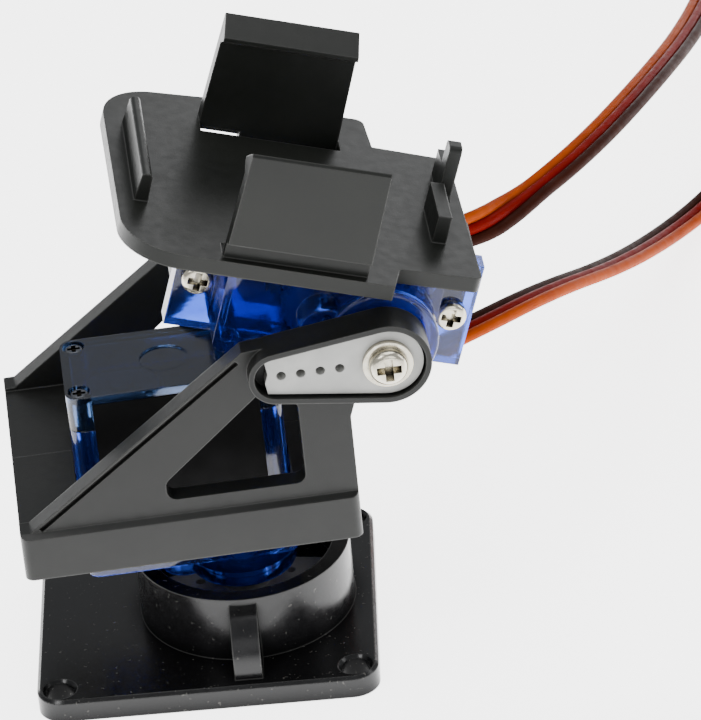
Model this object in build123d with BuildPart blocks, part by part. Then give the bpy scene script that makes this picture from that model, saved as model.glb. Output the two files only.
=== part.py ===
from build123d import *
import os
from math import cos, pi, radians, sin, tan

# Pan and tilt camera mount: two geared micro servos, a two-part yoke, a base with a cup and a camera plate.
# Millimetres, +Z up. Origin: centre of the base's four mounting holes, on its underside.

# ---------------------------------------------------------------- driving dimensions
PAN_REST, TILT_REST = 5.0, 18.0  # degrees: how the head is turned and tipped in the modelled pose

BASE_X, BASE_Y, BASE_T, BASE_R = 37.0, 34.0, 2.6, 3.0
HOLE_X, HOLE_Y, HOLE_D = 32.0, 29.0, 3.2
CUP_X = 4.5  # the cup and the pan axis sit off the base's centre
CUP_R, CUP_WALL, CUP_TOP, CUP_FLOOR = 11.8, 1.8, 10.3, 5.4
ARM_SEAT = 4.0  # height of the seat that holds the pan servo's arm
RIB_W, RIB_REACH = 3.0, 3.9

SERVO_BACK, SERVO_FRONT, SERVO_W = 16.9, 5.9, 12.2  # case ends from the output axis, and its width
SERVO_H, HUMP_H, SPLINE_H = 22.7, 26.7, 29.9
HUMP_R, BUMP_R = 5.9, 2.6
EAR_REACH, EAR_Z0, EAR_Z1, EAR_HOLE_D = 4.7, 15.9, 18.4, 2.0
WALL = 0.9
COVER_H = 4.2  # bottom cover of the servo case
DECK_Z0, DECK_Z1 = 15.8, 16.6  # the deck that the gears stand on
IDLER_X, MOTOR_X = -5.7, -10.8
SCREW_XY = [(-15.4, -4.6), (-15.4, 4.6), (4.4, -4.6), (4.4, 4.6)]
MOTOR_R = 4.0
LABEL_X, LABEL_Z, LABEL_T = (-14.2, 3.5), (1.0, 15.4), 0.08  # film label on one side of the case
SPLINE_R = 2.3
LEAD_Z, LEAD_D, GROMMET_OUT = 3.0, 2.5, 1.6
ARM_Z0, ARM_Z1 = 29.1, 30.6  # faces of the servo arms, from the servo's bottom

PAN_SERVO_TOP = 34.64  # height of the inverted pan servo's bottom cover
YOKE_BACK, YOKE_FRONT = -23.5, 12.5  # ends of the yoke from the pan axis
PLATE_IN, PLATE_OUT, LIP_OUT = 13.7, 16.0, 16.8  # faces of the yoke's side plates and of its lip
LIP_Z0, LIP_Z1, LIP_CHAMFER = 19.6, 25.0, 0.4
END_Z0, END_Z1, END_GAP = 15.0, 24.6, 0.05  # end walls that clamp the servo's ears
ARM_OUT, FAR_ARM_IN = 17.9, 15.3
ARM_R, ARM_TIP_R = 4.6, 3.0
PIVOT_X, PIVOT_Z = 16.8, 41.0
ARM_TIP_X = 5.2
POCKET_FLOOR, POCKET_RIM, HUB_HOLE_R = 15.7, 0.6, 3.5
YOKE_SCREW_Z = 22.4
YOKE_SCREW_X = (-19.9, 9.3)

TILT_SERVO_BOTTOM = 13.35  # the tilt servo's bottom cover, from the yoke's middle
CAMERA_Z0, CAMERA_Z1 = 6.3, 8.0  # underside and top of the camera plate, above the tilt axis
CAMERA_OUTLINE = [(-29.4, -15.3), (-0.8, -15.6), (0.1, -11.7), (9.1, -11.3), (8.6, 14.4), (0.1, 14.7),
                  (-0.3, 20.7), (-18.0, 20.5), (-29.7, 19.3)]
TAB_X, TAB_T, TAB_H, TAB_HOOK, TAB_TAPER = (-19.0, -3.65), 1.6, 12.6, 1.3, 0.37
TAB_OUT_Y = (-15.3, 16.5)  # outer faces of the two hooked tabs
SLOT_W, FOOT_SET_BACK = 2.2, 0.8
CHEEK_Y = (13.55, 15.05)
POST_Y = (-2.5, 3.5)
PIN_R, PIN_END = 2.0, 17.6
FIT = 0.06  # radial gap of a turning fit

# ---------------------------------------------------------------- frames
pan, tip = radians(PAN_REST), radians(TILT_REST)
YOKE_DIR = Vector(cos(pan), sin(pan), 0)
DEPTH_DIR = Vector(-sin(pan), cos(pan), 0)
UP = Vector(0, 0, 1)
PAN_AXIS = Vector(CUP_X, 0, 0)
TILT_DIR = YOKE_DIR * cos(tip) - UP * sin(tip)
TILT_UP = YOKE_DIR * sin(tip) + UP * cos(tip)
PIVOT = PAN_AXIS + YOKE_DIR * PIVOT_X + UP * PIVOT_Z


def yoke_point(x, y, z):
    return PAN_AXIS + YOKE_DIR * x + DEPTH_DIR * y + UP * z


def yoke_level(z):
    """Level plane of the yoke: x along it, y across it."""
    return Plane(origin=yoke_point(0, 0, z), x_dir=YOKE_DIR, z_dir=UP)


def yoke_side(y):
    """Upright plane of the yoke that faces the front: x along it, y up."""
    return Plane(origin=yoke_point(0, y, 0), x_dir=YOKE_DIR, z_dir=-DEPTH_DIR)


def camera_level(z):
    """Plane of the camera plate: x along it, y across it."""
    return Plane(origin=PIVOT + TILT_UP * z, x_dir=TILT_DIR, z_dir=TILT_UP)


def tilt_side(y):
    """Upright plane of the tilting head that faces the front, centred on the tilt axis."""
    return Plane(origin=PIVOT + DEPTH_DIR * y, x_dir=TILT_DIR, z_dir=-DEPTH_DIR)


PAN_SERVO = Plane(origin=yoke_point(0, 0, PAN_SERVO_TOP), x_dir=YOKE_DIR, z_dir=-UP)
TILT_SERVO = tilt_side(TILT_SERVO_BOTTOM)

os.makedirs("parts", exist_ok=True)


def save(part, name):
    part.label = name
    export_step(part, f"parts/{name}.step")


def box(plane, x, y, z, mode=Mode.ADD):
    """A block in the open part: x and y ranges on the plane, and a range of heights above it."""
    with BuildSketch(plane.offset(z[0])) as outline:
        with Locations(((x[0] + x[1]) / 2, (y[0] + y[1]) / 2)):
            Rectangle(x[1] - x[0], y[1] - y[0])
    extrude(outline.sketch, amount=z[1] - z[0], mode=mode)


def disc(plane, centre, radius, z, mode=Mode.ADD):
    """A round block in the open part, or a round hole with Mode.SUBTRACT."""
    with BuildSketch(plane.offset(z[0])) as outline:
        with Locations(centre):
            Circle(radius)
    extrude(outline.sketch, amount=z[1] - z[0], mode=mode)


def tapered_bar(a, radius_a, b, radius_b):
    """Sketch outline of two circles joined by their tangents."""
    with Locations(a):
        Circle(radius_a)
    with Locations(b):
        Circle(radius_b)
    make_hull()


# ---------------------------------------------------------------- base
def rib(side):
    """Curved gusset between the cup and the base, on the front (-1) or the back (1)."""
    start = CUP_R - CUP_WALL / 2
    plane = Plane(origin=(CUP_X - side * RIB_W / 2, 0, 0), x_dir=(0, side, 0), z_dir=(side, 0, 0))
    with BuildSketch(plane) as outline:
        with BuildLine():
            Polyline((start, CUP_TOP - 0.3), (start, 1), (CUP_R + RIB_REACH, 1), (CUP_R + RIB_REACH, 3.6))
            ThreePointArc((CUP_R + RIB_REACH, 3.6), (CUP_R + 2.6, 7.4), (start, CUP_TOP - 0.3))
        make_face()
    extrude(outline.sketch, amount=RIB_W)


with BuildPart() as base_plate:
    with BuildSketch():
        RectangleRounded(BASE_X, BASE_Y, BASE_R)
    extrude(amount=BASE_T)
    chamfer(faces().sort_by(Axis.Z)[-1].edges(), 0.35)
    with BuildSketch(Plane.XY.offset(1)):
        with Locations((CUP_X, 0)):
            Circle(CUP_R)
    extrude(amount=CUP_TOP - 1)
    rib(-1)
    rib(1)
    disc(Plane.XY, (CUP_X, 0), CUP_R - CUP_WALL, (CUP_FLOOR, CUP_TOP), Mode.SUBTRACT)
    # seat of the servo arm, its screws and the shaft's screw
    with BuildSketch(yoke_level(ARM_SEAT)):
        tapered_bar((0, 0), 3.9, (8.0, 0), 1.9)
        tapered_bar((0, 0), 3.9, (-8.0, 0), 1.9)
    extrude(amount=CUP_FLOOR - ARM_SEAT, mode=Mode.SUBTRACT)
    disc(yoke_level(0), (0, 0), 3.0, (0, 2.6), Mode.SUBTRACT)
    disc(yoke_level(0), (0, 0), 1.3, (2.6, ARM_SEAT), Mode.SUBTRACT)
    for x in (-5.0, 5.0):
        disc(yoke_level(0), (x, 0), 1.6, (0, 1.4), Mode.SUBTRACT)
        disc(yoke_level(0), (x, 0), 0.55, (1.4, ARM_SEAT), Mode.SUBTRACT)
    with Locations(Plane.XY.offset(BASE_T)):
        with GridLocations(HOLE_X, HOLE_Y, 2, 2):
            CounterSinkHole(HOLE_D / 2, HOLE_D / 2 + 0.3, BASE_T)
save(base_plate.part, "base_plate")


# ---------------------------------------------------------------- servo arms (horns) and their screws
def servo_arm(frame, tips, tip_r, holes, cut=None):
    """Arm of a servo: a hub over the spline and one or two flat arms. Heights are from the servo's bottom."""
    with BuildPart() as arm:
        disc(frame, (0, 0), 3.0, (27.15, ARM_Z1))
        with BuildSketch(frame.offset(ARM_Z0)):
            for x in tips:
                tapered_bar((0, 0), 3.8, (x, 0), tip_r)
        extrude(amount=ARM_Z1 - ARM_Z0)
        disc(frame, (0, 0), SPLINE_R + 0.05, (27.15, SPLINE_H), Mode.SUBTRACT)
        disc(frame, (0, 0), 1.1, (SPLINE_H, ARM_Z1), Mode.SUBTRACT)
        for x in tips:
            for n in range(holes):
                reach = 5.0 + 2.05 * n
                disc(frame, (reach if x > 0 else -reach, 0), 0.5, (ARM_Z0, ARM_Z1), Mode.SUBTRACT)
        if cut:
            with BuildSketch(frame.offset(ARM_Z0 - 1)):
                # rough end, as snipped to length
                Polygon((-20, -5), (cut + 0.6, -5), (cut, -0.7), (cut + 0.35, 0.3), (cut - 0.3, 5),
                        (-20, 5), align=None)
            extrude(amount=4, mode=Mode.SUBTRACT)
    return arm.part


YOKE_SERVO_ARM = Plane(origin=TILT_SERVO.origin, x_dir=YOKE_DIR, z_dir=-DEPTH_DIR)
save(servo_arm(PAN_SERVO, (-7.8, 7.8), 1.8, 1), "pan_servo_arm")
save(servo_arm(YOKE_SERVO_ARM, (-13.4,), 1.9, 4, cut=-12.9), "tilt_servo_arm")


def cross_recess(frame, centre, size, z):
    """Cross-shaped driver recess."""
    for width, height in ((size, size * 0.34), (size * 0.34, size)):
        with BuildSketch(frame.offset(z[0])) as outline:
            with Locations(centre):
                Rectangle(width, height)
        extrude(outline.sketch, amount=z[1] - z[0], mode=Mode.SUBTRACT)


def pan_head(frame, centre, head_r, head_h, shank_r, length, seat):
    """Pan-head screw in the open part: the head stands on the seat and the shank goes down from it."""
    disc(frame, centre, head_r, (seat, seat + head_h))
    rim = faces().sort_by(Axis(frame.origin, frame.z_dir))[-1].edges()
    fillet(rim, head_h * 0.55)
    disc(frame, centre, shank_r, (seat - length, seat))
    cross_recess(frame, centre, head_r * 1.25, (seat + head_h * 0.2, seat + head_h))


def lone_screw(frame, centre, head_r, head_h, shank_r, length, seat):
    with BuildPart() as screw:
        pan_head(frame, centre, head_r, head_h, shank_r, length, seat)
    return screw.part


def screw_group(*screws):
    return Compound(children=list(screws))


UNDER = Plane(origin=yoke_point(0, 0, 0), x_dir=YOKE_DIR, z_dir=-UP)
arm_screws = [lone_screw(UNDER, (x, 0), 1.4, 0.9, 0.45, 3.5, -1.4) for x in (-5.0, 5.0)]
save(screw_group(*arm_screws), "pan_arm_screws")
save(lone_screw(UNDER, (0, 0), 2.4, 1.4, 0.85, 6.6, -2.6), "pan_shaft_screw")

with BuildPart() as tilt_shaft_screw:
    disc(YOKE_SERVO_ARM, (0, 0), 2.65, (ARM_Z1, ARM_Z1 + 0.6))
    disc(YOKE_SERVO_ARM, (0, 0), 2.05, (ARM_Z1 + 0.6, ARM_Z1 + 1.8))
    fillet(faces().sort_by(Axis(TILT_SERVO.origin, TILT_SERVO.z_dir))[-1].edges(), 0.8)
    disc(YOKE_SERVO_ARM, (0, 0), 0.85, (25.3, ARM_Z1))
    cross_recess(YOKE_SERVO_ARM, (0, 0), 2.6, (ARM_Z1 + 0.3, ARM_Z1 + 1.8))
save(tilt_shaft_screw.part, "tilt_shaft_screw")


# ---------------------------------------------------------------- servo
def case_outline(inset=0.0):
    with Locations(((SERVO_FRONT - SERVO_BACK) / 2, 0)):
        length = SERVO_BACK + SERVO_FRONT
        RectangleRounded(length - 2 * inset, SERVO_W - 2 * inset, 1.3 - inset)


def case_slab(frame, z, inset=0.0, mode=Mode.ADD):
    with BuildSketch(frame.offset(z[0])) as outline:
        case_outline(inset)
    extrude(outline.sketch, amount=z[1] - z[0], mode=mode)


def screw_bosses(frame, z):
    for place in SCREW_XY:
        disc(frame, place, 1.25, z)


def screw_bores(frame, radius, z):
    for place in SCREW_XY:
        disc(frame, place, radius, z, Mode.SUBTRACT)


def case_bottom(frame):
    """Bottom cover with its countersunk screw seats and the lead's slot."""
    with BuildPart() as cover:
        case_slab(frame, (0, COVER_H))
        case_slab(frame, (1.2, COVER_H), WALL, Mode.SUBTRACT)
        screw_bosses(frame, (1.2, COVER_H))
        screw_bores(frame, 0.66, (0, COVER_H))
        screw_bores(frame, 1.2, (0, 0.9))
        box(frame, (SERVO_FRONT - WALL - 1, SERVO_FRONT + 1), (-2.0, 2.0), (1.9, COVER_H), Mode.SUBTRACT)
        # plain round recess
        disc(frame, (-6.0, 0), 2.6, (0, 0.2), Mode.SUBTRACT)
    return cover.part


def case_middle(frame):
    """Case body with its two ears and the deck for the gears."""
    with BuildPart() as middle:
        case_slab(frame, (COVER_H, EAR_Z1))
        ear_ends = (-SERVO_BACK - EAR_REACH, SERVO_FRONT + EAR_REACH)
        box(frame, ear_ends, (-SERVO_W / 2, SERVO_W / 2), (EAR_Z0, EAR_Z1))
        case_slab(frame, (COVER_H, DECK_Z0), WALL, Mode.SUBTRACT)
        case_slab(frame, (DECK_Z1, EAR_Z1), WALL, Mode.SUBTRACT)
        screw_bosses(frame, (COVER_H, EAR_Z1))
        screw_bores(frame, 0.66, (COVER_H, EAR_Z1))
        disc(frame, (0, 0), 1.25, (DECK_Z0, DECK_Z1), Mode.SUBTRACT)
        disc(frame, (IDLER_X, 0), 0.5, (DECK_Z0, DECK_Z1), Mode.SUBTRACT)
        disc(frame, (MOTOR_X, 0), 1.0, (DECK_Z0, DECK_Z1), Mode.SUBTRACT)
        for x in (-SERVO_BACK - EAR_REACH / 2, SERVO_FRONT + EAR_REACH / 2):
            disc(frame, (x, 0), EAR_HOLE_D / 2, (EAR_Z0, EAR_Z1), Mode.SUBTRACT)
    return middle.part


def case_top(frame):
    """Gear cover: the round hump carries the output shaft, the small bump the idler pin."""
    with BuildPart() as top:
        case_slab(frame, (EAR_Z1, SERVO_H))
        disc(frame, (0, 0), HUMP_R, (SERVO_H, HUMP_H))
        fillet(faces().sort_by(Axis(frame.origin, frame.z_dir))[-1].edges(), 0.4)
        disc(frame, (IDLER_X - 0.6, 0), BUMP_R, (SERVO_H, HUMP_H - 0.4))
        case_slab(frame, (EAR_Z1, SERVO_H - 0.8), WALL, Mode.SUBTRACT)
        disc(frame, (0, 0), HUMP_R - 0.9, (EAR_Z1, HUMP_H - 1.6), Mode.SUBTRACT)
        screw_bosses(frame, (EAR_Z1, SERVO_H - 0.8))
        screw_bores(frame, 0.66, (EAR_Z1, SERVO_H - 1.2))
        disc(frame, (0, 0), SPLINE_R + FIT, (HUMP_H - 1.6, HUMP_H), Mode.SUBTRACT)
        disc(frame, (IDLER_X, 0), 0.5, (SERVO_H - 0.8, SERVO_H + 1.2), Mode.SUBTRACT)
    return top.part


def case_screws(frame):
    back = Plane(origin=frame.origin, x_dir=frame.x_dir, z_dir=-frame.z_dir)
    return screw_group(*[lone_screw(back, (x, -y), 1.1, 0.7, 0.6, 19.5, -0.9) for x, y in SCREW_XY])


def motor(frame):
    with BuildPart() as can:
        with BuildSketch(frame.offset(3.6)):
            with Locations((MOTOR_X, 0)):
                Circle(MOTOR_R)
                Rectangle(20, 6.4, mode=Mode.INTERSECT)
        extrude(amount=DECK_Z0 - 3.6)
        disc(frame, (MOTOR_X, 0), 0.95, (DECK_Z0, DECK_Z1))
        disc(frame, (MOTOR_X, 0), 1.2, (3.0, 3.6))
        disc(frame, (MOTOR_X, 0), 0.5 + FIT, (12.6, DECK_Z1), Mode.SUBTRACT)
    return can.part


def potentiometer(frame):
    with BuildPart() as pot:
        disc(frame, (0, 0), 4.2, (8.0, 12.6))
        disc(frame, (0, 0), 2.4, (12.6, 13.6))
        disc(frame, (0, 0), 1.0 + FIT, (9.5, 13.6), Mode.SUBTRACT)
    return pot.part


def control_board(frame):
    """Circuit board with its driver chip and two small parts."""
    with BuildPart() as board:
        box(frame, (-6.2, 2.8), (-4.9, 4.9), (5.6, 6.6))
        box(frame, (-4.6, -0.6), (-3.0, 2.2), (6.6, 7.7))
        box(frame, (0.4, 1.8), (-3.8, -2.9), (6.6, 7.3))
        box(frame, (0.4, 1.8), (1.2, 2.1), (6.6, 7.3))
    return board.part


def grommet(frame):
    """Rubber strain relief in the slot of the bottom cover."""
    with BuildPart() as sleeve:
        box(frame, (SERVO_FRONT - WALL - 0.8, SERVO_FRONT - WALL), (-2.6, 2.6), (1.4, COVER_H))
        box(frame, (SERVO_FRONT - WALL, SERVO_FRONT), (-2.0, 2.0), (1.9, COVER_H))
        box(frame, (SERVO_FRONT, SERVO_FRONT + GROMMET_OUT), (-2.4, 2.4), (1.2, LEAD_Z * 2 - 1.2))
    return sleeve.part


def label(frame):
    """Plain film label on one side of the case, over the seam of the bottom cover."""
    with BuildPart() as film:
        box(frame, LABEL_X, (SERVO_W / 2, SERVO_W / 2 + LABEL_T), LABEL_Z)
    return film.part


def idler_pin(frame):
    with BuildPart() as pin:
        disc(frame, (IDLER_X, 0), 0.5, (DECK_Z0, SERVO_H + 1.2))
    return pin.part


def toothed(frame, centre, teeth, module, z, turn=0.0):
    """Straight-cut gear wheel in the open part, with slim teeth so that the pairs run free."""
    pitch_r = teeth * module / 2
    tip, root = pitch_r + 0.75 * module, pitch_r - 1.15 * module
    pitch = 2 * pi / teeth
    points = []
    for n in range(teeth):
        middle = pitch * n + radians(turn)
        for radius, side in ((root, -0.27), (tip, -0.12), (tip, 0.12), (root, 0.27)):
            angle = middle + side * pitch
            points.append((radius * cos(angle), radius * sin(angle)))
    with BuildSketch(frame.offset(z[0])) as outline:
        with Locations(centre):
            Polygon(*points, align=None)
    extrude(outline.sketch, amount=z[1] - z[0])


def wheel(frame, x, bore, big, small, turn):
    """Double gear: a big wheel and a small one above it. Each is teeth, module and a range of heights."""
    with BuildPart() as gear:
        toothed(frame, (x, 0), *big, turn)
        if small:
            disc(frame, (x, 0), bore + 0.35, (big[2][1], small[2][0]))
            toothed(frame, (x, 0), *small, 0.0)
        disc(frame, (x, 0), bore, (big[2][0] - 1, 30), Mode.SUBTRACT)
    return gear.part


def output_gear(frame):
    """Last gear of the train, one piece with the shaft that carries the arm and turns the potentiometer."""
    with BuildPart() as gear:
        toothed(frame, (0, 0), 30, 0.285, (20.4, 21.6), 6.0)
        disc(frame, (0, 0), SPLINE_R, (21.6, SPLINE_H))
        disc(frame, (0, 0), 1.0, (9.7, 20.4))
        disc(frame, (0, 0), 0.9, (25.0, SPLINE_H), Mode.SUBTRACT)
    return gear.part


def pinion(frame):
    with BuildPart() as gear:
        disc(frame, (MOTOR_X, 0), 0.5, (13.0, DECK_Z1 + 0.2))
        toothed(frame, (MOTOR_X, 0), 9, 0.2, (DECK_Z1 + 0.2, 17.8), 20.0)
    return gear.part


def servo(frame, name):
    """All the pieces of one servo."""
    save(case_bottom(frame), f"{name}_servo_case_bottom")
    save(case_middle(frame), f"{name}_servo_case_middle")
    save(case_top(frame), f"{name}_servo_case_top")
    save(case_screws(frame), f"{name}_servo_case_screws")
    save(motor(frame), f"{name}_servo_motor")
    save(potentiometer(frame), f"{name}_servo_potentiometer")
    save(control_board(frame), f"{name}_servo_control_board")
    save(grommet(frame), f"{name}_servo_lead_grommet")
    save(label(frame), f"{name}_servo_label")
    save(idler_pin(frame), f"{name}_servo_idler_pin")
    save(pinion(frame), f"{name}_servo_motor_pinion")
    first = wheel(frame, IDLER_X, 0.54, (42, 0.2, (16.8, 17.7)), (10, 0.19, (17.9, 18.9)), 0.0)
    second = wheel(frame, 0, 1.0 + FIT, (50, 0.19, (17.9, 18.9)), (12, 0.228, (19.1, 20.2)), 180 / 50)
    third = wheel(frame, IDLER_X, 0.54, (38, 0.228, (19.1, 20.2)), (10, 0.285, (20.4, 21.6)), 180 / 38)
    save(first, f"{name}_servo_gear_first")
    save(second, f"{name}_servo_gear_second")
    save(third, f"{name}_servo_gear_third")
    save(output_gear(frame), f"{name}_servo_output_gear")


servo(PAN_SERVO, "pan")
servo(TILT_SERVO, "tilt")


# ---------------------------------------------------------------- yoke
STRUT = [(-22.4, LIP_Z1), (1.8, 43.6)]  # upper edge of the sloping strut
SIDE_OUTLINE = [(YOKE_BACK, LIP_Z0), (YOKE_FRONT, LIP_Z0), (YOKE_FRONT, 34.2), (13.1, 36.0), (14.8, 37.4),
                (16.8, 38.0), (16.8, 42.0), (ARM_TIP_X, 43.9), *reversed(STRUT), (YOKE_BACK, LIP_Z1)]
GROOVE_ENDS, GROOVE_INSETS, GROOVE_DEPTH = (1.0, 29.4), (0.3, 0.8), 0.7
WINDOW = [(-7.6, 26.8), (7.1, 26.8), (7.1, 36.6), (3.4, 38.6), (-7.6, 29.0)]


def yoke_box(x, y, z, mode=Mode.ADD):
    box(yoke_level(0), x, y, z, mode)


def end_wall(x, side):
    """End of one half: it holds the joining screw and clamps the servo's ear."""
    reach = sorted((0, side * PLATE_IN))
    inner = sorted((0, side * 7.4))
    yoke_box(x, reach, (LIP_Z0, END_Z1))
    yoke_box(x, inner, (END_Z0, LIP_Z0))


def on_strut(distance, inset):
    """Point of the strut's face: so far from its foot, and so far in from its upper edge."""
    foot, head = Vector(*STRUT[0]), Vector(*STRUT[1])
    along = (head - foot).normalized()
    place = foot + along * distance + Vector(along.Y, -along.X) * inset
    return place.X, place.Y


def window_outline():
    """Triangle window with rounded corners."""
    with BuildSketch() as window:
        Polygon(*WINDOW, align=None)
        fillet(window.vertices(), 1.1)
    return window.sketch


def yoke_half(side):
    """Half of the yoke: the front one is -1, the back one 1."""
    with BuildPart() as half:
        with BuildSketch(yoke_side(side * PLATE_IN)):
            Polygon(*SIDE_OUTLINE, align=None)
            add(window_outline(), mode=Mode.SUBTRACT)
        extrude(amount=(PLATE_OUT - PLATE_IN) * -side)
        # lip with its sloping upper edge
        with BuildSketch(Plane(origin=yoke_point(YOKE_BACK, 0, 0), x_dir=DEPTH_DIR, z_dir=YOKE_DIR)):
            with BuildLine():
                Polyline((side * PLATE_IN, LIP_Z0), (side * LIP_OUT, LIP_Z0),
                         (side * LIP_OUT, LIP_Z1 - LIP_CHAMFER), (side * PLATE_OUT, LIP_Z1),
                         (side * PLATE_IN, LIP_Z1), close=True)
            make_face()
        extrude(amount=YOKE_FRONT - YOKE_BACK)
        end_wall((YOKE_BACK, -SERVO_BACK - END_GAP), side)
        end_wall((SERVO_FRONT + END_GAP, YOKE_FRONT), side)
        upright = edges().filter_by(Axis.Z)
        corners = upright.filter_by(lambda e: abs((e.center() - PAN_AXIS).dot(DEPTH_DIR)) > LIP_OUT - 0.1)
        fillet(corners, 1.0)
        # slots for the servo's ears
        yoke_box((-21.75, -SERVO_BACK), (-6.2, 6.2), (16.19, 18.79), Mode.SUBTRACT)
        yoke_box((SERVO_FRONT, 10.75), (-6.2, 6.2), (16.19, 18.79), Mode.SUBTRACT)
        # groove along the strut
        (low, high), (near, far) = GROOVE_ENDS, GROOVE_INSETS
        with BuildSketch(yoke_side(side * (PLATE_OUT - GROOVE_DEPTH))):
            Polygon(on_strut(low, near), on_strut(high, near), on_strut(high, far), on_strut(low, far),
                    align=None)
        extrude(amount=-side * 2 * GROOVE_DEPTH, mode=Mode.SUBTRACT)
        # arm at the tilt axis
        inner, outer = (PLATE_IN, ARM_OUT) if side < 0 else (FAR_ARM_IN, ARM_OUT)
        with BuildSketch(yoke_side(side * inner)):
            tapered_bar((PIVOT_X, PIVOT_Z), ARM_R, (ARM_TIP_X, PIVOT_Z), ARM_TIP_R)
        extrude(amount=(outer - inner) * -side)
        if side < 0:
            with BuildSketch(yoke_side(side * POCKET_FLOOR)):
                tapered_bar((PIVOT_X, PIVOT_Z), ARM_R - POCKET_RIM,
                            (ARM_TIP_X, PIVOT_Z), ARM_TIP_R - POCKET_RIM)
            extrude(amount=ARM_OUT - POCKET_FLOOR, mode=Mode.SUBTRACT)
            disc(yoke_side(-PLATE_IN), (PIVOT_X, PIVOT_Z), HUB_HOLE_R, (-0.5, 3), Mode.SUBTRACT)
            for x in YOKE_SCREW_X:
                disc(yoke_side(0), (x, YOKE_SCREW_Z), 0.9, (0, 7), Mode.SUBTRACT)
        else:
            disc(yoke_side(FAR_ARM_IN), (PIVOT_X, PIVOT_Z), 6.8, (0, 2), Mode.SUBTRACT)
            disc(yoke_side(ARM_OUT), (PIVOT_X, PIVOT_Z), PIN_R + FIT, (-0.5, 4), Mode.SUBTRACT)
            for x in YOKE_SCREW_X:
                disc(yoke_side(0), (x, YOKE_SCREW_Z), 0.95, (-15, 0), Mode.SUBTRACT)
                disc(yoke_side(LIP_OUT), (x, YOKE_SCREW_Z), 2.3, (-0.5, 2), Mode.SUBTRACT)
    return half.part


save(yoke_half(-1), "yoke_front")
save(yoke_half(1), "yoke_rear")

REAR_SIDE = Plane(origin=yoke_point(0, 0, 0), x_dir=-YOKE_DIR, z_dir=DEPTH_DIR)
joining = [(-x, YOKE_SCREW_Z) for x in YOKE_SCREW_X]
joining_screws = [lone_screw(REAR_SIDE, place, 1.9, 1.5, 0.85, 21.0, LIP_OUT - 2) for place in joining]
save(screw_group(*joining_screws), "yoke_screws")


# ---------------------------------------------------------------- camera plate
def hooked_tab(outer, side):
    """Standing tab whose upper edge hooks inwards. The sketch is its section, across the plate."""
    inner = outer - side * TAB_T
    base = CAMERA_Z1 - 0.2
    top = CAMERA_Z1 + TAB_H
    tip = inner - side * TAB_HOOK
    plane = Plane(origin=PIVOT + TILT_DIR * TAB_X[0], x_dir=DEPTH_DIR, z_dir=TILT_DIR)
    with BuildSketch(plane) as section:
        with BuildLine():
            Polyline((outer, base), (outer, top - 0.3), (outer - side * 0.3, top), (tip, top - 1.7),
                     (tip, top - 2.2), (inner, top - 2.9), (inner, base), close=True)
        make_face()
    extrude(section.sketch, amount=TAB_X[1] - TAB_X[0])


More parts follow.
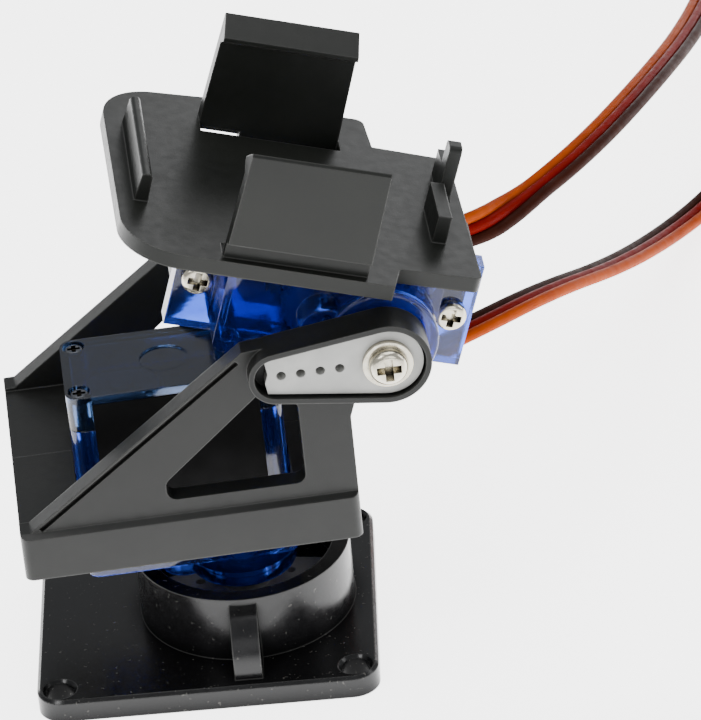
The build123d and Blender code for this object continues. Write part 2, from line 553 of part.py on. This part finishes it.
with BuildPart() as camera_plate:
    with BuildSketch(camera_level(CAMERA_Z0)):
        Polygon(*CAMERA_OUTLINE, align=None)
        fillet(vertices().sort_by(Axis.X)[:2], 6.5)
        fillet(vertices().sort_by(Axis.X)[-2:], 0.8)
        fillet(vertices().sort_by(Axis.Y)[-1:], 1.0)
    extrude(amount=CAMERA_Z1 - CAMERA_Z0)
    hooked_tab(TAB_OUT_Y[0], -1)
    hooked_tab(TAB_OUT_Y[1], 1)
    # tabs narrow towards the top
    for x, lean in ((TAB_X[0], 1), (TAB_X[1], -1)):
        with BuildSketch(tilt_side(30)):
            with BuildLine():
                Polyline((x, CAMERA_Z1), (x + lean * TAB_TAPER, CAMERA_Z1 + TAB_H + 1),
                         (x - lean, CAMERA_Z1 + TAB_H + 1), (x - lean, CAMERA_Z1), close=True)
            make_face()
        extrude(amount=60, mode=Mode.SUBTRACT)
    # slots under the hooks, the set-back foot of the front tab and a relief under one end of the rear tab
    front_in, rear_in = TAB_OUT_Y[0] + TAB_T, TAB_OUT_Y[1] - TAB_T
    level = camera_level(0)
    box(level, TAB_X, (front_in, front_in + SLOT_W), (CAMERA_Z0, CAMERA_Z1), Mode.SUBTRACT)
    box(level, TAB_X, (rear_in - SLOT_W, rear_in), (CAMERA_Z0, CAMERA_Z1), Mode.SUBTRACT)
    foot_y = (TAB_OUT_Y[0] - 1, TAB_OUT_Y[0] + FOOT_SET_BACK)
    box(level, TAB_X, foot_y, (CAMERA_Z1, CAMERA_Z1 + 1.9), Mode.SUBTRACT)
    relief_x, relief_y = (TAB_X[0], TAB_X[0] + 4.6), (rear_in, TAB_OUT_Y[1] - 0.1)
    box(level, relief_x, relief_y, (CAMERA_Z0, CAMERA_Z0 + 1.05), Mode.SUBTRACT)
    # ridge at the back end, block and posts at the front end
    with BuildSketch(tilt_side(12.0)):
        Polygon((-27.7, CAMERA_Z1 - 0.2), (-26.2, CAMERA_Z1 - 0.2), (-26.3, CAMERA_Z1 + 3.2),
                (-27.4, CAMERA_Z1 + 3.2), align=None)
        fillet(vertices().sort_by(Axis.Y)[-2:], 0.45)
    extrude(amount=17.0)
    box(camera_level(0), (4.4, 5.9), (-4.8, 2.6), (CAMERA_Z1 - 0.2, CAMERA_Z1 + 3.2))
    box(camera_level(0), (6.2, 7.6), (5.2, 7.4), (CAMERA_Z1 - 0.2, CAMERA_Z1 + 6.2))
    fillet(edges().filter_by(lambda e: abs(e.length - 1.4) < 0.01), 0.6)
    box(camera_level(0), (6.2, 7.6), (7.4, 10.4), (CAMERA_Z1 - 0.2, CAMERA_Z1 + 3.2))
    # posts that the servo's ears are screwed to
    for x, hole in (((-21.6, -17.1), -SERVO_BACK - EAR_REACH / 2), ((6.1, 9.7), SERVO_FRONT + EAR_REACH / 2)):
        box(camera_level(0), x, POST_Y, (-1.8, CAMERA_Z0 + 0.2))
        disc(tilt_side(POST_Y[0]), (hole, 0), 0.72, (-6, 0), Mode.SUBTRACT)
    # rear cheek with its pin
    with BuildSketch(tilt_side(CHEEK_Y[1])):
        Circle(ARM_R)
        with Locations((0, CAMERA_Z0)):
            Rectangle(12.0, 0.4)
        make_hull()
    extrude(amount=CHEEK_Y[1] - CHEEK_Y[0])
    disc(tilt_side(CHEEK_Y[1]), (0, 0), PIN_R, (CHEEK_Y[1] - PIN_END, 0))
save(camera_plate.part, "camera_plate")

EAR_FACE = tilt_side(TILT_SERVO_BOTTOM - EAR_Z1)
ear_x = (-SERVO_BACK - EAR_REACH / 2, SERVO_FRONT + EAR_REACH / 2)
save(screw_group(*[lone_screw(EAR_FACE, (x, 0), 1.7, 1.1, 0.7, 7.5, 0) for x in ear_x]), "tilt_ear_screws")


# ---------------------------------------------------------------- servo leads and their connectors
LEAD_START = SERVO_FRONT + GROMMET_OUT + 0.8
PAN_LEAD_START = yoke_point(LEAD_START, 0, PAN_SERVO_TOP - LEAD_Z)
TILT_LEAD_START = PIVOT + TILT_DIR * LEAD_START + DEPTH_DIR * (TILT_SERVO_BOTTOM - LEAD_Z)
PAN_ROUTE = [tuple(PAN_LEAD_START), (20.0, 2.0, 28.6), (30.1, 12.0, 28.8), (39.0, 27.0, 24.0),
             (47.6, 48.5, 13.6), (55.0, 68.0, 5.4), (62.2, 82.0, 1.4), (69.0, 94.5, 1.4),
             (78.5, 103.0, 1.4), (89.0, 100.0, 1.4), (93.0, 89.5, 1.4), (91.5, 74.5, 1.4),
             (86.5, 58.0, 1.4), (83.0, 41.0, 1.4), (84.5, 24.0, 1.4), (90.0, 10.0, 1.4)]
TILT_ROUTE = [tuple(TILT_LEAD_START), (32.0, 15.2, 38.4), (37.2, 25.5, 38.0), (45.4, 38.5, 36.5),
              (52.6, 60.0, 30.5), (59.6, 87.5, 21.5), (66.2, 115.5, 12.0), (71.0, 130.0, 4.2),
              (77.0, 140.5, 1.4), (86.0, 145.0, 1.4), (95.5, 142.5, 1.4), (101.5, 133.5, 1.4),
              (103.5, 119.0, 1.4), (102.0, 101.0, 1.4), (101.5, 83.0, 1.4), (103.5, 72.0, 1.4)]


def corner_radii(points):
    radii = []
    for a, b, c in zip(points, points[1:], points[2:]):
        turn = radians((b - a).get_angle(c - b))
        radii.append(0.45 * min((b - a).length, (c - b).length) / tan(turn / 2))
    return radii


def lead(route, name):
    """Three-wire lead as one tube, its connector and the connector's contacts."""
    points = [Vector(*p) for p in route]
    radii = corner_radii(points)
    print(name, "corner radii", [round(r, 1) for r in radii])
    with BuildPart() as cable:
        with BuildLine() as path:
            FilletPolyline(*points, radius=radii)
        route_line = path.wire()
        with BuildSketch(Plane(origin=route_line @ 0, z_dir=route_line % 0)):
            Circle(LEAD_D / 2)
        sweep(path=route_line)
    save(cable.part, f"{name}_lead")
    ideal = route_line.length * pi * LEAD_D ** 2 / 4
    ratio = round(cable.part.volume / ideal, 4)
    print(name, "lead length", round(route_line.length, 2), "volume ratio", ratio)
    end, along = route_line @ 1, route_line % 1
    flat = Plane(origin=(end.X, end.Y, 0), x_dir=(along.X, along.Y, 0), z_dir=UP)
    with BuildPart() as housing:
        box(flat, (0, 14.0), (-3.81, 3.81), (0.05, 2.65))
        chamfer(edges().filter_by(lambda e: abs(e.length - 14.0) < 0.01), 0.25)
        for y in (-2.54, 0, 2.54):
            box(flat, (1.5, 14.0), (y - 0.5, y + 0.5), (0.95, 1.95), Mode.SUBTRACT)
            box(flat, (6.5, 8.6), (y - 0.45, y + 0.45), (1.9, 2.65), Mode.SUBTRACT)
    save(housing.part, f"{name}_lead_connector")
    contacts = []
    for y in (-2.54, 0, 2.54):
        with BuildPart() as contact:
            box(flat, (2.5, 13.0), (y - 0.42, y + 0.42), (1.0, 1.9))
            box(flat, (6.5, 13.0), (y - 0.25, y + 0.25), (1.15, 1.75), Mode.SUBTRACT)
        contacts.append(contact.part)
    save(Compound(children=contacts), f"{name}_lead_contacts")


lead(PAN_ROUTE, "pan")
lead(TILT_ROUTE, "tilt")
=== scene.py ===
import bpy
import bmesh
from math import cos, sin, radians, pi
from mathutils import Matrix, Vector


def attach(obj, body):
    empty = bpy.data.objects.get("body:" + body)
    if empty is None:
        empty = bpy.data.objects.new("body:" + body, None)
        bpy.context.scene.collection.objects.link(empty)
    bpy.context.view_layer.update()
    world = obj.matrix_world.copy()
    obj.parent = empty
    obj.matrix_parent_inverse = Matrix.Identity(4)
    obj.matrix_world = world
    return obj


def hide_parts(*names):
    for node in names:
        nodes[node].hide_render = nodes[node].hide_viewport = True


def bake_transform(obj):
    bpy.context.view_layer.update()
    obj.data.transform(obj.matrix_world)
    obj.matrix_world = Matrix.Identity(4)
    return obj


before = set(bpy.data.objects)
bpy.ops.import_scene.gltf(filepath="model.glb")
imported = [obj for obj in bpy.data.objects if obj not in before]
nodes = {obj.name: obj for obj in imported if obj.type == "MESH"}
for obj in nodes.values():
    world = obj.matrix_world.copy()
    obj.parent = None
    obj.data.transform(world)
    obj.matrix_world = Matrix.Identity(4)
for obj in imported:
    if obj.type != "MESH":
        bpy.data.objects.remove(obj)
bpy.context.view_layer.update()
scene = bpy.context.scene

# ---------------------------------------------------------------- camera
camera = bpy.data.objects.new("camera", bpy.data.cameras.new("camera"))
scene.collection.objects.link(camera)
camera.matrix_world = Matrix(((0.995801, 0.086477, 0.030050, 0.03668),
                              (-0.019668, 0.522660, -0.852314, -0.51910),
                              (-0.089411, 0.848144, 0.522166, 0.35000),
                              (0, 0, 0, 1)))
camera.data.sensor_fit = "HORIZONTAL"
camera.data.sensor_width = 36.0
camera.data.lens = 292.24
camera.data.clip_start = 0.01
scene.camera = camera

# ---------------------------------------------------------------- frames of the head, as in the CAD
PAN, TIP = radians(5.0), radians(18.0)  # how far the head stands turned and tipped at rest
PAN_AXIS = Vector((0.0045, 0, 0))
PIVOT_OUT, PIVOT_UP = 0.0168, 0.041
UP = Vector((0, 0, 1))
YOKE = Vector((cos(PAN), sin(PAN), 0))
DEPTH = Vector((-sin(PAN), cos(PAN), 0))
TILT = YOKE * cos(TIP) - UP * sin(TIP)
PIVOT = PAN_AXIS + YOKE * PIVOT_OUT + UP * PIVOT_UP


# ---------------------------------------------------------------- materials
class Shader:
    """Small helper round one Principled material."""

    def __init__(self, name, colour, roughness, **inputs):
        self.mat = bpy.data.materials.new(name)
        self.mat.use_nodes = True
        self.tree = self.mat.node_tree
        self.bsdf = self.tree.nodes["Principled BSDF"]
        self.bsdf.inputs["Base Color"].default_value = (*colour, 1)
        self.bsdf.inputs["Roughness"].default_value = roughness
        for key, value in inputs.items():
            self.bsdf.inputs[key.replace("_", " ")].default_value = value
        self.colour = colour
        self.coloured = None
        self.coords = self.tree.nodes.new("ShaderNodeTexCoord")

    def add(self, kind, **values):
        node = self.tree.nodes.new(kind)
        for key, value in values.items():
            node.inputs[key.replace("_", " ")].default_value = value
        return node

    def noise(self, scale, detail=3.0, rough=0.55, stretch=None):
        tex = self.add("ShaderNodeTexNoise", Scale=scale, Detail=detail, Roughness=rough)
        source = self.coords.outputs["Object"]
        if stretch:
            mapping = self.add("ShaderNodeMapping")
            mapping.inputs["Scale"].default_value = stretch
            self.tree.links.new(source, mapping.inputs["Vector"])
            source = mapping.outputs["Vector"]
        self.tree.links.new(source, tex.inputs["Vector"])
        return tex.outputs["Fac"]

    def ramp(self, source, low, high, dark, light):
        node = self.add("ShaderNodeMapRange", From_Min=low, From_Max=high, To_Min=dark, To_Max=light)
        self.tree.links.new(source, node.inputs["Value"])
        return node.outputs["Result"]

    def mix_colour(self, mask, other):
        """Lays another colour over what the base colour is so far."""
        mix = self.tree.nodes.new("ShaderNodeMix")
        mix.data_type = "RGBA"
        mix.inputs[6].default_value = (*self.colour, 1)
        mix.inputs[7].default_value = (*other, 1)
        if self.coloured:
            self.tree.links.new(self.coloured, mix.inputs[6])
        self.tree.links.new(mask, mix.inputs[0])
        self.tree.links.new(mix.outputs[2], self.bsdf.inputs["Base Color"])
        self.coloured = mix.outputs[2]

    def vary_colour(self, source, other, low=0.35, high=0.7):
        self.mix_colour(self.ramp(source, low, high, 0.0, 1.0), other)

    def painted_edge_highlights(self, other, radius, amount):
        """Painted highlights on rounded edges: a lighter colour where the rounded normal leaves the true one.
        """
        soft = self.add("ShaderNodeBevel", Radius=radius)
        soft.samples = 6
        shape = self.tree.nodes.new("ShaderNodeNewGeometry")
        facing = self.tree.nodes.new("ShaderNodeVectorMath")
        facing.operation = "DOT_PRODUCT"
        self.tree.links.new(soft.outputs["Normal"], facing.inputs[0])
        self.tree.links.new(shape.outputs["Normal"], facing.inputs[1])
        self.mix_colour(self.ramp(facing.outputs["Value"], 0.985, 0.80, 0.0, amount), other)

    def dark_hollows(self, other, reach):
        """Painted shade that darkens recesses where ambient occlusion finds cover."""
        hollow = self.add("ShaderNodeAmbientOcclusion", Distance=reach)
        hollow.samples = 8
        self.mix_colour(self.ramp(hollow.outputs["AO"], 0.75, 0.35, 0.0, 1.0), other)

    def dull_hollows(self, reach, gloss, dull):
        """Recesses hold dust, so they shine less than open faces."""
        hollow = self.add("ShaderNodeAmbientOcclusion", Distance=reach)
        hollow.samples = 8
        shine = self.ramp(hollow.outputs["AO"], 0.45, 0.80, dull, gloss)
        self.tree.links.new(shine, self.bsdf.inputs["Specular IOR Level"])

    def vary_roughness(self, source, dark, light, low=0.3, high=0.7):
        self.tree.links.new(self.ramp(source, low, high, dark, light), self.bsdf.inputs["Roughness"])

    def bumps(self, *layers, bevel=0.00022):
        """Layers of (source, strength, distance) over edges softened by a small radius."""
        normal = None
        if bevel:
            soft = self.add("ShaderNodeBevel", Radius=bevel)
            soft.samples = 4
            normal = soft.outputs["Normal"]
        for source, strength, distance in layers:
            bump = self.add("ShaderNodeBump", Strength=strength, Distance=distance)
            self.tree.links.new(source, bump.inputs["Height"])
            if normal:
                self.tree.links.new(normal, bump.inputs["Normal"])
            normal = bump.outputs["Normal"]
        self.tree.links.new(normal, self.bsdf.inputs["Normal"])


def nylon(name, colour, light, roughness, grain, scuffs=0.04, specks=0.0, gloss=0.3):
    """Black moulded nylon: fine spark grain, flow marks, painted highlights along its edges and, with specks,
    a little dust.
    """
    s = Shader(name, colour, roughness, Specular_IOR_Level=gloss)
    flow = s.noise(90.0, 4.0)
    s.vary_colour(flow, light)
    # painted highlight: the edges are drawn in a lighter colour
    s.painted_edge_highlights(EDGE_HIGHLIGHT, 0.0003, 0.45)
    if specks:
        s.mix_colour(s.ramp(s.noise(2100.0, 1.0), 0.70, 0.76, 0.0, specks), DUST)
        s.dull_hollows(0.004, gloss, 0.06)
    s.vary_roughness(s.noise(900.0, 3.0), roughness - scuffs, roughness + scuffs)
    s.bumps((flow, 0.03, 0.0004), (s.noise(5200.0, 2.0, 0.6), grain, 0.00003))
    return s.mat


def blue_shell(name, colour, other):
    """Clear blue polycarbonate with flow marks."""
    s = Shader(name, colour, 0.10, Transmission_Weight=0.95, IOR=1.55, Specular_IOR_Level=0.5)
    flow = s.noise(140.0, 3.0, 0.5, (1, 1, 2.2))
    s.vary_colour(flow, other, 0.35, 0.72)
    s.vary_roughness(s.noise(600.0, 4.0), 0.04, 0.14)
    s.bumps((flow, 0.10, 0.0005), (s.noise(2400.0, 2.0), 0.08, 0.00003), bevel=0.00018)
    return s.mat


def metal(name, colour, other, roughness, stretch=(1, 1, 1)):
    """Metal with fine marks, drawn out along stretch, and painted shade in its recesses."""
    s = Shader(name, colour, roughness, Metallic=1.0)
    marks = s.noise(900.0, 4.0, 0.6, stretch)
    s.vary_colour(marks, other, 0.4, 0.75)
    # painted shade: recesses drawn darker
    s.dark_hollows(HOLLOW_SHADE, 0.0008)
    s.vary_roughness(marks, roughness - 0.08, roughness + 0.14)
    s.bumps((marks, 0.18, 0.00004), bevel=0.00012)
    return s.mat


def soft_plastic(name, colour, other, roughness, grain=0.12, scale=300.0, **inputs):
    """Opaque moulded plastic or rubber with slow clouds of colour and a fine grain."""
    s = Shader(name, colour, roughness, **inputs)
    cloud = s.noise(scale, 3.0)
    s.vary_colour(cloud, other)
    s.vary_roughness(s.noise(scale * 2.5, 3.0), roughness - 0.07, roughness + 0.09)
    s.bumps((cloud, 0.1, 0.0002), (s.noise(3000.0, 2.0), grain, 0.00003), bevel=0.00012)
    return s.mat


# EDGE_HIGHLIGHT is a painted highlight on rounded edges; DUST is real dust.
# HOLLOW_SHADE is painted shade for recesses.
EDGE_HIGHLIGHT, DUST, HOLLOW_SHADE = (0.10, 0.10, 0.094), (0.16, 0.155, 0.14), (0.035, 0.03, 0.022)
BASE_BLACK = nylon("base_black", (0.0030, 0.0030, 0.0032), (0.006, 0.006, 0.0065), roughness=0.22, grain=0.12,
                   scuffs=0.05, specks=0.3, gloss=0.36)
YOKE_BLACK = nylon("yoke_black", (0.0064, 0.0068, 0.0062), (0.0094, 0.0098, 0.0088), roughness=0.40,
                   grain=0.40)
PLATE_BLACK = nylon("plate_black", (0.0066, 0.0074, 0.0062), (0.0096, 0.0104, 0.0086), roughness=0.36,
                    grain=0.30)
BLUE = blue_shell("clear_blue", (0.028, 0.066, 0.46), (0.065, 0.15, 0.70))
# painted shade: a darker, greyer copy of the clear blue, used for the pan servo's cover
SHADED_BLUE = blue_shell("shaded_blue", (0.035, 0.070, 0.17), (0.06, 0.12, 0.26))
CHROME = metal("screw_nickel", (0.66, 0.62, 0.51), (0.48, 0.44, 0.35), 0.17)
DARK_STEEL = metal("case_screw_steel", (0.15, 0.16, 0.18), (0.09, 0.095, 0.11), 0.24)
CAN = metal("motor_can", (0.60, 0.60, 0.58), (0.45, 0.45, 0.44), 0.35, stretch=(1, 1, 8))
BRASS = metal("brass", (0.78, 0.56, 0.22), (0.60, 0.42, 0.16), 0.28)
GOLD = metal("contact_gold", (0.90, 0.66, 0.28), (0.72, 0.50, 0.20), 0.22)
HORN = soft_plastic("horn_white", (0.37, 0.37, 0.355), (0.45, 0.45, 0.43), 0.38, grain=0.2,
                    Subsurface_Weight=0.15, Subsurface_Radius=(0.001, 0.001, 0.001))
ACETAL = soft_plastic("gear_acetal", (0.82, 0.81, 0.76), (0.72, 0.71, 0.66), 0.40)
BOARD = soft_plastic("board_green", (0.02, 0.17, 0.07), (0.03, 0.24, 0.11), 0.30, grain=0.25, scale=900.0)
CARBON = soft_plastic("black_resin", (0.015, 0.015, 0.016), (0.03, 0.03, 0.03), 0.48)
LABEL = soft_plastic("label_film", (0.0025, 0.0025, 0.0026), (0.005, 0.005, 0.0052), 0.55, grain=0.1,
                     scale=220.0, Specular_IOR_Level=0.06)
RUBBER = soft_plastic("black_rubber", (0.012, 0.012, 0.012), (0.026, 0.025, 0.024), 0.68, grain=0.35)


def wire_jacket(name, colour, other):
    """Matt soft vinyl of one wire."""
    s = Shader(name, colour, 0.55, Specular_IOR_Level=0.03)
    s.vary_colour(s.noise(260.0, 3.0), other)
    s.vary_roughness(s.noise(900.0, 3.0), 0.42, 0.60)
    s.bumps((s.noise(700.0, 3.0), 0.14, 0.00012), (s.noise(4000.0, 2.0), 0.15, 0.00003), bevel=0)
    return s.mat


BROWN = wire_jacket("wire_brown", (0.022, 0.0042, 0.0018), (0.032, 0.0068, 0.003))
RED = wire_jacket("wire_red", (0.135, 0.0018, 0.0004), (0.175, 0.0028, 0.0008))
ORANGE = wire_jacket("wire_orange", (0.290, 0.036, 0.0001), (0.360, 0.052, 0.0003))

# A node takes the material of the first of these words that its name holds.
FINISH = {
    "case_screws": DARK_STEEL, "screw": CHROME, "label": LABEL, "contacts": GOLD, "connector": CARBON,
    "grommet": RUBBER, "motor_pinion": BRASS, "servo_motor": CAN, "potentiometer": CARBON,
    # the pan servo's cover takes the painted-shade copy of the clear blue
    "control_board": BOARD, "idler_pin": CAN, "gear": ACETAL, "pan_servo_case_bottom": SHADED_BLUE,
    "servo_case": BLUE, "servo_arm": HORN, "base_plate": BASE_BLACK, "yoke": YOKE_BLACK,
    "camera_plate": PLATE_BLACK, "lead": RUBBER,
}

for name, obj in nodes.items():
    word = next(w for w in FINISH if w in name)
    obj.data.materials.clear()
    obj.data.materials.append(FINISH[word])

# ---------------------------------------------------------------- servo leads
EXIT_OUT = 0.0070  # from the servo shaft's axis to where the lead leaves its strain relief
PAN_START = PAN_AXIS + UP * 0.03164 + YOKE * EXIT_OUT
TILT_START = PIVOT + TILT * EXIT_OUT + DEPTH * 0.01035
BEND_END = (0.0603, 0.0870, 0.0210)  # a control point of the tilt lead's route
PAN_ROUTE = [tuple(PAN_START), (0.0200, 0.0020, 0.0286), (0.0311, 0.0119, 0.0273), (0.0399, 0.0267, 0.0225),
             (0.0484, 0.0477, 0.0124), (0.0556, 0.0672, 0.0046), (0.0622, 0.0820, 0.0008),
             (0.0690, 0.0945, 0.0008), (0.0785, 0.1030, 0.0008), (0.0890, 0.1000, 0.0008),
             (0.0930, 0.0895, 0.0008), (0.0915, 0.0745, 0.0008), (0.0865, 0.0580, 0.0008),
             (0.0830, 0.0410, 0.0008), (0.0845, 0.0240, 0.0008), (0.0900, 0.0100, 0.0014)]
TILT_ROUTE = [tuple(TILT_START), (0.0323, 0.0148, 0.0376), (0.0384, 0.0248, 0.0355), (0.0462, 0.0380, 0.0341),
              (0.0536, 0.0596, 0.0292), BEND_END, (0.0650, 0.1155, 0.0125),
              (0.0710, 0.1300, 0.0042), (0.0770, 0.1400, 0.0008), (0.0860, 0.1440, 0.0008),
              (0.0955, 0.1425, 0.0008), (0.1015, 0.1335, 0.0008), (0.1035, 0.1190, 0.0008),
              (0.1020, 0.1010, 0.0008), (0.1015, 0.0830, 0.0008), (0.1035, 0.0720, 0.0014)]
WIRE_R, WIRE_STEP = 0.00066, 0.00126  # radius of one wire, and from one wire to the next
AROUND = 14  # points round a wire


def spline_points(name, route):
    """Points of the smooth line that the route's control points steer."""
    curve = bpy.data.curves.new(name + "_line", "CURVE")
    curve.dimensions = "3D"
    line = curve.splines.new("NURBS")
    line.points.add(len(route) - 1)
    for point, place in zip(line.points, route):
        point.co = (*place, 1)
    line.order_u = 3
    line.use_endpoint_u = True
    line.resolution_u = 14
    holder = bpy.data.objects.new(name + "_line", curve)
    mesh = bpy.data.meshes.new_from_object(holder)
    points = [v.co.copy() for v in mesh.vertices]
    bpy.data.objects.remove(holder)
    return points


def ribbon(name, route, colours, start_turn, turn_length):
    """Flat lead of round wires side by side, in the order of colours from its left to its right.

    It leaves its exit turned by start_turn about its own line, and has turned flat after turn_length."""
    points = spline_points(name, route)
    mesh = bmesh.new()
    run = 0.0
    rings = [[] for _ in colours]
    for i, place in enumerate(points):
        before, after = points[max(i - 1, 0)], points[min(i + 1, len(points) - 1)]
        along = (after - before).normalized()
        if i:
            run += (place - points[i - 1]).length
        left = UP.cross(along).normalized()
        over = along.cross(left)
        t = min(run / turn_length, 1.0)
        angle = start_turn * (1 - t * t * (3 - 2 * t))  # smooth at both ends
        across = left * cos(angle) + over * sin(angle)
        normal = along.cross(across)
        for w, ring in enumerate(rings):
            middle = place + across * (WIRE_STEP * (1 - w))
            ring.append([mesh.verts.new(middle + (across * cos(a) + normal * sin(a)) * WIRE_R)
                         for a in (2 * pi * k / AROUND for k in range(AROUND))])
    for w, ring in enumerate(rings):
        for one, two in zip(ring, ring[1:]):
            for k in range(AROUND):
                beside = (k + 1) % AROUND
                face = mesh.faces.new((one[k], one[beside], two[beside], two[k]))
                face.material_index = w
                face.smooth = True
        for end, flip in ((ring[0], True), (ring[-1], False)):
            face = mesh.faces.new(list(reversed(end)) if flip else end)
            face.material_index = w
    data = bpy.data.meshes.new(name)
    mesh.normal_update()
    mesh.to_mesh(data)
    mesh.free()
    for colour in colours:
        data.materials.append(colour)
    obj = bpy.data.objects.new(name, data)
    scene.collection.objects.link(obj)
    return obj, points


pan_ribbon, pan_line = ribbon("pan_lead_wires", PAN_ROUTE, (BROWN, RED, ORANGE), 0.0, 0.02)
tilt_ribbon, tilt_line = ribbon("tilt_lead_wires", TILT_ROUTE, (ORANGE, RED, BROWN), radians(90), 0.022)
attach(pan_ribbon, "pan_head")
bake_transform(tilt_ribbon)
for obj, line, cad, start, length in ((pan_ribbon, pan_line, "pan", PAN_START, 0.2325),
                                      (tilt_ribbon, tilt_line, "tilt", TILT_START, 0.2357)):
    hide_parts(cad + "_lead")

# ---------------------------------------------------------------- floor and light
floor_mat = Shader("paper", (0.90, 0.90, 0.89), 0.7, Emission_Color=(1, 1, 1, 1))
spot = floor_mat.tree.nodes.new("ShaderNodeSeparateXYZ")
floor_mat.tree.links.new(floor_mat.coords.outputs["Object"], spot.inputs["Vector"])
glow = floor_mat.ramp(spot.outputs["Y"], -0.22, -0.12, 1.15, 3.8)  # dimmer in front, so front faces stay dark
floor_mat.tree.links.new(glow, floor_mat.bsdf.inputs["Emission Strength"])
floor_mat.vary_roughness(floor_mat.noise(40.0), 0.65, 0.8)
floor = bpy.data.objects.new("floor", bpy.data.meshes.new("floor"))
scene.collection.objects.link(floor)
sheet = bmesh.new()
bmesh.ops.create_grid(sheet, x_segments=2, y_segments=2, size=2.0)
sheet.to_mesh(floor.data)
sheet.free()
floor.data.materials.append(floor_mat.mat)
floor.location = (0.02, 0.1, -0.0001)


def softbox(name, place, target, width, height, power, colour=(1, 1, 1)):
    light = bpy.data.lights.new(name, "AREA")
    light.shape = "RECTANGLE"
    light.size, light.size_y = width, height
    light.energy = power
    light.color = colour
    obj = bpy.data.objects.new(name, light)
    obj.location = place
    obj.rotation_euler = (Vector(target) - Vector(place)).to_track_quat("-Z", "Y").to_euler()
    scene.collection.objects.link(obj)


MIDDLE = (0.01, 0.0, 0.035)
softbox("key", (-0.45, -0.55, 0.75), MIDDLE, 0.3, 0.3, 2.5)
softbox("front", (0.25, -0.9, 0.35), MIDDLE, 0.6, 0.4, 1.5)
softbox("top", (0.05, 0.05, 0.9), MIDDLE, 0.8, 0.8, 5.0)
softbox("rear_right", (0.28, 0.75, 0.38), MIDDLE, 0.30, 0.30, 0.5)
softbox("right", (0.7, -0.05, 0.3), MIDDLE, 0.25, 0.4, 1.0)
world = bpy.data.worlds.new("room")
world.use_nodes = True
world.node_tree.nodes["Background"].inputs["Color"].default_value = (0.95, 0.97, 1.0, 1)
world.node_tree.nodes["Background"].inputs["Strength"].default_value = 0.55
scene.world = world
